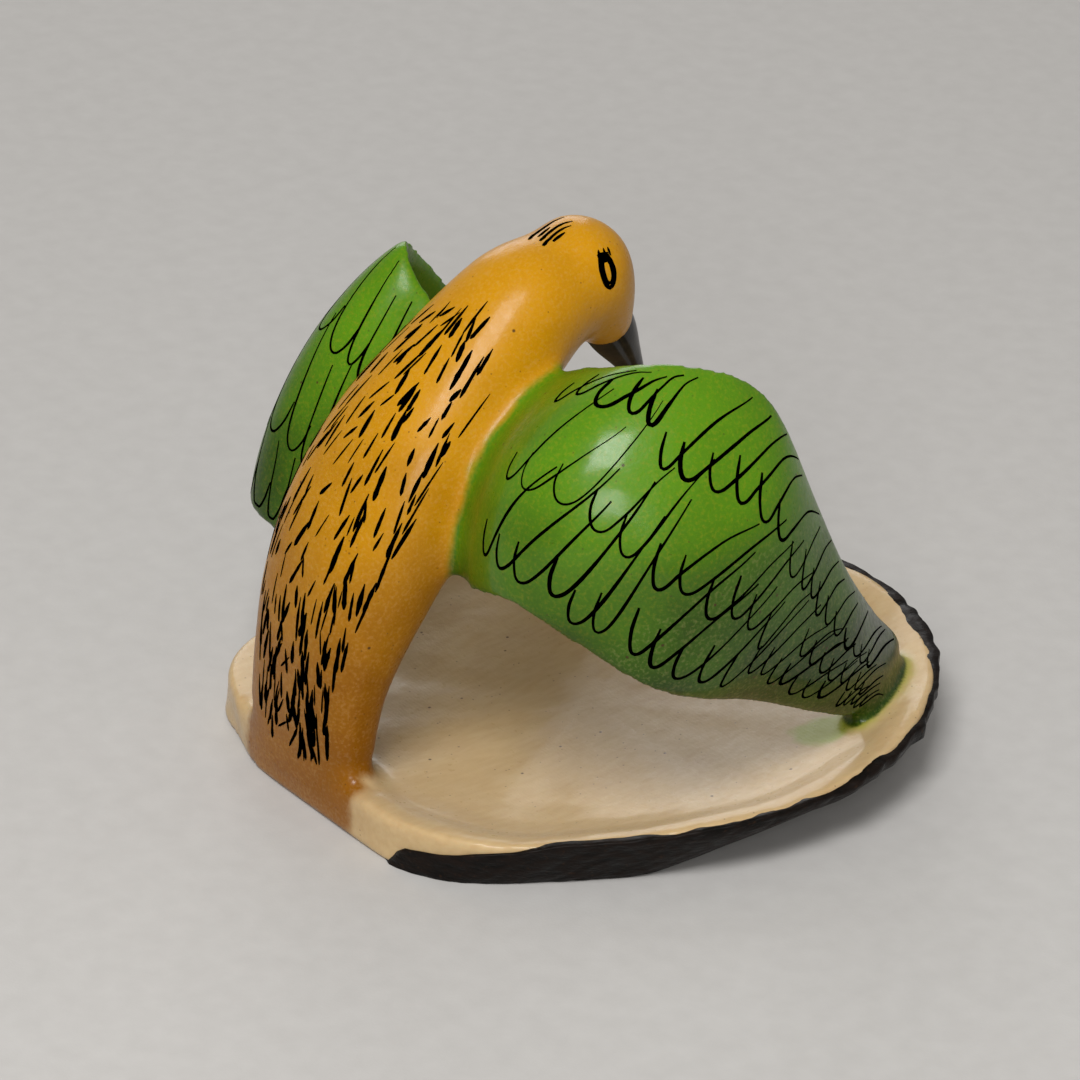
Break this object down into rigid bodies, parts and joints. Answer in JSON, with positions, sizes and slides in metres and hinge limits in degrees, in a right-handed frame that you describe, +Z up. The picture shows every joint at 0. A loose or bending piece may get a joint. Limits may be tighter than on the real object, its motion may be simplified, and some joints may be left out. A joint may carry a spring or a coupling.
{
  "type": "carved nut bird figurine",
  "caption": "Small carved palm-nut figurine of a yellow bird with spread green wings bending its black beak over a shallow cream dish in dark seed coat.",
  "frame": {"origin": "on the ground under the middle of the dish, on its flat underside", "axes": "+X to the bird's right, +Y the way it faces, with the tail and the flat cut at -Y, +Z up"},
  "size_m": [0.0465, 0.0462, 0.0394],
  "materials": {
    "base_dish": "polished, lightly lacquered cream kernel",
    "husk_skin": "dark brown-black seed coat, half gloss",
    "bird_body": "orange-yellow dye under clear lacquer, black pen marks",
    "beak": "black, glossy",
    "right_wing": "green dye under clear lacquer, black pen feathers",
    "left_wing": "green dye under clear lacquer, black pen feathers"
  },
  "bodies": {
    "root": {"base_dish": "base_dish", "husk_skin": "husk_skin", "bird_body": "bird_body", "beak": "beak", "right_wing": "right_wing", "left_wing": "left_wing"}
  },
  "joints": []
}
